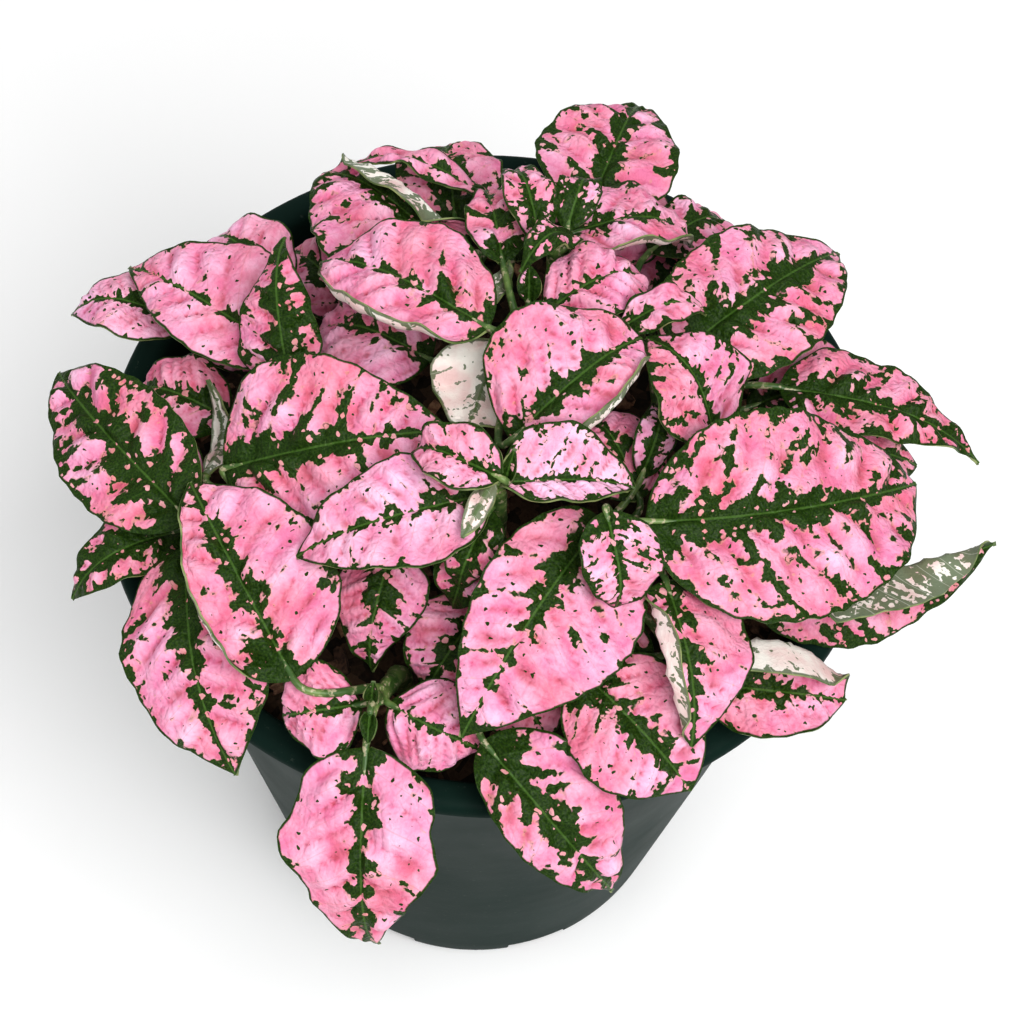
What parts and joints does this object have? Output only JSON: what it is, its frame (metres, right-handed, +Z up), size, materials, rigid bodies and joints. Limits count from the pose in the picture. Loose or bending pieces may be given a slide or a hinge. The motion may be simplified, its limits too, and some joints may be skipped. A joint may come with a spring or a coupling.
{
  "type": "potted polka dot plant",
  "caption": "Low leafy house plant with pink and dark green mottled leaves on soft stems, growing in a tapered round plastic nursery pot full of bark soil.",
  "frame": {"origin": "centre of the pot's flat underside, which is the plane that the pot stands on", "axes": "+Z up along the pot's axis, +X to the right and -Y to the front as the plant is seen in the picture"},
  "size_m": [0.1836, 0.178, 0.1958],
  "materials": {
    "pot_plastic": "satin moulded dark green plastic",
    "bark_soil": "loose bark and peat, matt",
    "leaf": "soft satin leaf, pink blotches on dark green"
  },
  "bodies": {
    "root": {"pot": "pot_plastic", "soil": "bark_soil", "stem_centre": "leaf", "stem_centre_right": "leaf", "stem_front_left": "leaf", "stem_left": "leaf", "stem_upper_left": "leaf", "stem_top_centre": "leaf", "stem_back": "leaf", "stem_back_left": "leaf", "stem_back_right": "leaf", "stem_right": "leaf", "stem_front_right": "leaf"}
  },
  "joints": []
}
